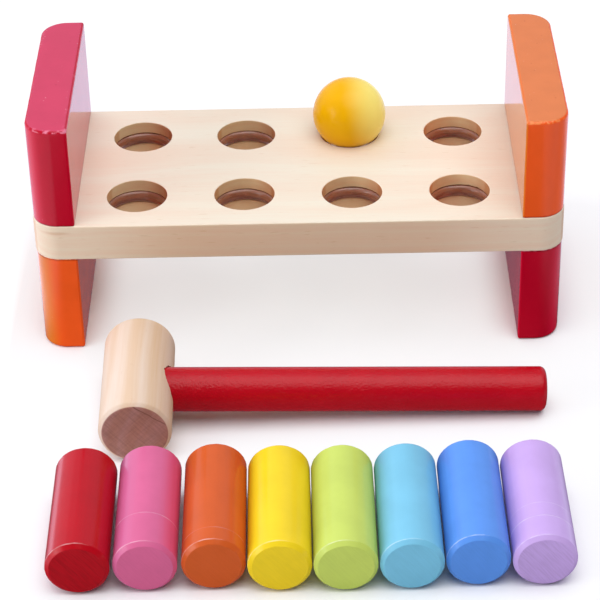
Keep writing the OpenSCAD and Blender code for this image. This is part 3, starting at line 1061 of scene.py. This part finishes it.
bm = bmesh.new()
lowered = Matrix.Translation((0, 0, -FLOOR_GAP))
bmesh.ops.create_grid(bm, x_segments=1, y_segments=1, size=FLOOR_SIZE / 2, matrix=lowered)
mesh = bpy.data.meshes.new("floor")
bm.to_mesh(mesh)
bm.free()
floor = set_out("floor", mesh)
floor_material, tree, surface, place = new_material(
    "white_floor", Base_Color=FLOOR_WHITE, Roughness=0.9, Specular_IOR_Level=0.1)
rays = add_node(tree, "ShaderNodeLightPath").outputs
mirrored = calc(tree, "MAXIMUM", rays["Is Glossy Ray"], rays["Is Transmission Ray"])
across, back, _ = xyz(tree, place)
inputs = {"Distance": FLOOR_OPEN_REACH}
open_share = add_node(tree, "ShaderNodeAmbientOcclusion", inputs, samples=8).outputs["AO"]
least = fade(tree, open_share, *FLOOR_OPEN, 0.0, FLOOR_LIFT)
distance = add_node(tree, "ShaderNodeVectorMath", {0: place}, operation="LENGTH").outputs["Value"]
lifted = fade(tree, distance, FLOOR_NEAR, FLOOR_FAR, least, 1.0)
share = calc(tree, "MAXIMUM", product(tree, rays["Is Camera Ray"], lifted), mirrored)
left = fade(tree, across, *LEFT_ACROSS, SHEEN_LEFT, SHEEN_FRONT)
right = fade(tree, across, *RIGHT_ACROSS, 0.0, SHEEN_RIGHT - SHEEN_FRONT)
beside = product(tree, fade(tree, back, *BESIDE_BACK, 0.0, BESIDE_BENCH),
                 fade(tree, across, *BESIDE_ACROSS))
sheen = product(tree, calc(tree, "ADD", left, right), calc(tree, "SUBTRACT", 1.0, beside))
sheen = fade(tree, back, *BACK_AWAY, sheen, SHEEN_BACK)
outward = fade(tree, calc(tree, "ABSOLUTE", across), deck_high.x - 0.03, deck_high.x + 0.01)
forward = fade(tree, back, deck_low.y + 0.01, deck_low.y - 0.03)
backward = fade(tree, back, deck_high.y - 0.01, deck_high.y + 0.03)
outside = calc(tree, "MAXIMUM", outward, calc(tree, "MAXIMUM", forward, backward))
sheen = fade(tree, outside, 0.0, 1.0, SHEEN_UNDER, sheen)
strength = calc(tree, "MAXIMUM", sheen, rays["Is Camera Ray"])
white = colour_mix(tree, mirrored, (1.0, 1.0, 1.0), FLOOR_COOL)
glow = add_node(tree, "ShaderNodeEmission", {"Color": white, "Strength": strength})
both = add_node(tree, "ShaderNodeMixShader", {0: share, 1: surface.outputs[0], 2: glow.outputs[0]})
output = next(node for node in tree.nodes if node.type == "OUTPUT_MATERIAL")
tree.links.new(both.outputs[0], output.inputs["Surface"])
mesh.materials.append(floor_material)

# Soft light comes from a wide panel overhead and a smaller one low on the left. The room is pale
# behind the set and on the left, and darker behind the camera.
LIGHTS = {
    "overhead": ((0.20, -0.30, 1.5), 1.7, 18.7),
    "left": ((-1.35, -0.60, 0.5), 0.8, 7.4),
}
LIGHTS_AIM = (0, 0, 0.05)
ROOM_EVEN = 0.12
ROOM_PATCHES = {
    "behind": ((0.0, 0.71, 0.71), 0.62),
    "left": ((-0.98, 0.0, 0.20), 0.70),
}
ROOM_SPREAD = (0.25, 0.95)
ROOM_TINT = (0.97, 1.00, 1.18)

for name, (spot, size, power) in LIGHTS.items():
    light = bpy.data.lights.new(name, "AREA")
    light.shape = "DISK"
    light.size = size
    light.energy = power
    lamp = set_out(name, light)
    lamp.location = spot
    lamp.rotation_euler = (Vector(LIGHTS_AIM) - Vector(spot)).to_track_quat("-Z", "Y").to_euler()

world = bpy.data.worlds.new("studio")
world.use_nodes = True
tree = world.node_tree
tree.nodes.clear()
direction = add_node(tree, "ShaderNodeTexCoord").outputs["Generated"]
room = ROOM_EVEN
for patch, strength in ROOM_PATCHES.values():
    glow = fade(tree, towards(tree, direction, patch), *ROOM_SPREAD, 0.0, strength)
    room = calc(tree, "ADD", glow, room)
camera_ray = add_node(tree, "ShaderNodeLightPath").outputs["Is Camera Ray"]
tint = colour_mix(tree, camera_ray, ROOM_TINT, (1.0, 1.0, 1.0))
strength = calc(tree, "MAXIMUM", room, camera_ray)
background = add_node(tree, "ShaderNodeBackground", {"Color": tint, "Strength": strength})
add_node(tree, "ShaderNodeOutputWorld", {"Surface": background.outputs[0]})
bpy.context.scene.world = world
bpy.context.scene.view_settings.view_transform = "Standard"

# The camera stands in front of the set, a little over a metre away, and looks down on it
# through a long lens.
CAMERA_PLACE = (0.008744, -0.951680, 0.705031)
CAMERA_YAW, CAMERA_PITCH, CAMERA_ROLL = 0.5140, -34.3105, -1.3581
CAMERA_LENS, CAMERA_SENSOR = 134.815, 36.0

camera_data = bpy.data.cameras.new("camera")
camera_data.lens = CAMERA_LENS
camera_data.sensor_width = CAMERA_SENSOR
camera = set_out("camera", camera_data)
camera.matrix_world = (Matrix.Translation(CAMERA_PLACE)
                       @ Matrix.Rotation(math.radians(CAMERA_YAW), 4, "Z")
                       @ Matrix.Rotation(math.radians(90 + CAMERA_PITCH), 4, "X")
                       @ Matrix.Rotation(math.radians(CAMERA_ROLL), 4, "Z"))
bpy.context.scene.camera = camera
